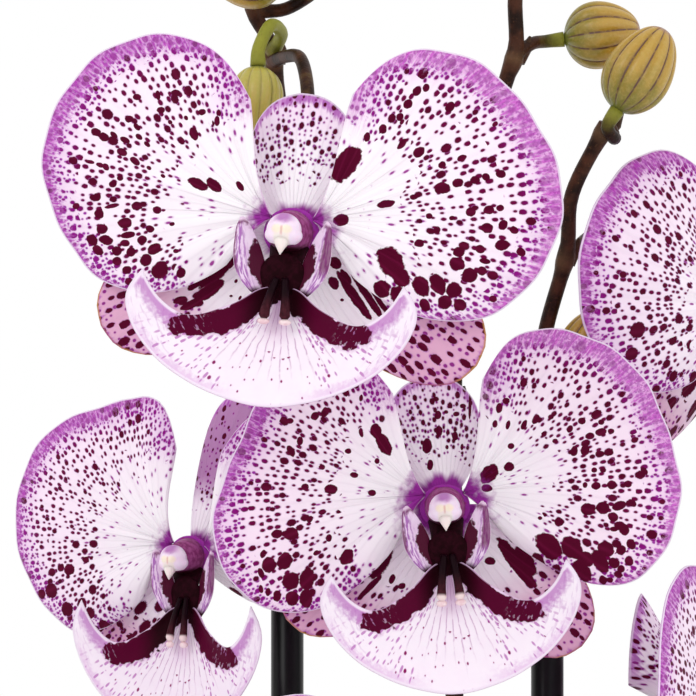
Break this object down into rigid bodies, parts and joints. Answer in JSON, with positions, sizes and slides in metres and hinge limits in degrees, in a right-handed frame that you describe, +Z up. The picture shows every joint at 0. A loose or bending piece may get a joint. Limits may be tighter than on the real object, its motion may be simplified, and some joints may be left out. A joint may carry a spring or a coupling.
{
  "type": "potted moth orchid",
  "caption": "Moth orchid in a plain round pot: large spotted blooms and buds on dark flower stems held by stakes, strap leaves, bark and aerial roots.",
  "frame": {"origin": "centre of the pot's round base, on the surface that it stands on", "axes": "+Z up along the pot's axis; the blooms face -Y; +X is the viewer's right"},
  "size_m": [0.4186, 0.167, 0.6505],
  "materials": {
    "ceramic": "gloss",
    "bark": "rough",
    "crown": "satin",
    "leaf": "satin",
    "root": "matte",
    "stake": "gloss",
    "clip": "matte",
    "stem": "satin",
    "bud": "satin",
    "petal": "soft matte",
    "lip": "satin"
  },
  "bodies": {
    "root": {"pot": "ceramic", "growing_medium": "bark", "crown": "crown", "leaf_left_1": "leaf", "leaf_left_2": "leaf", "leaf_left_3": "leaf", "leaf_right_1": "leaf", "leaf_right_2": "leaf", "leaf_right_3": "leaf", "root_front_left": "root", "root_front_right": "root", "root_short": "root", "root_back": "root", "stake_left": "stake", "stake_right": "stake", "clip_left_1": "clip", "clip_left_2": "clip", "clip_right_1": "clip", "clip_right_2": "clip", "flower_stem_left": "stem", "flower_stem_middle": "stem", "flower_stem_right": "stem", "bud_middle_1": "bud", "bud_middle_2": "bud", "bud_middle_3": "bud", "bud_right_1": "bud", "bud_right_2": "bud", "bud_left_1": "bud", "bud_left_2": "bud", "bud_left_3": "bud", "bloom_a_tepals": "petal", "bloom_a_lip": "lip", "bloom_b_tepals": "petal", "bloom_b_lip": "lip", "bloom_c_tepals": "petal", "bloom_c_lip": "lip", "bloom_d_tepals": "petal", "bloom_d_lip": "lip", "bloom_e_tepals": "petal", "bloom_e_lip": "lip", "bloom_g_tepals": "petal", "bloom_g_lip": "lip", "bloom_h_tepals": "petal", "bloom_h_lip": "lip"}
  },
  "joints": []
}
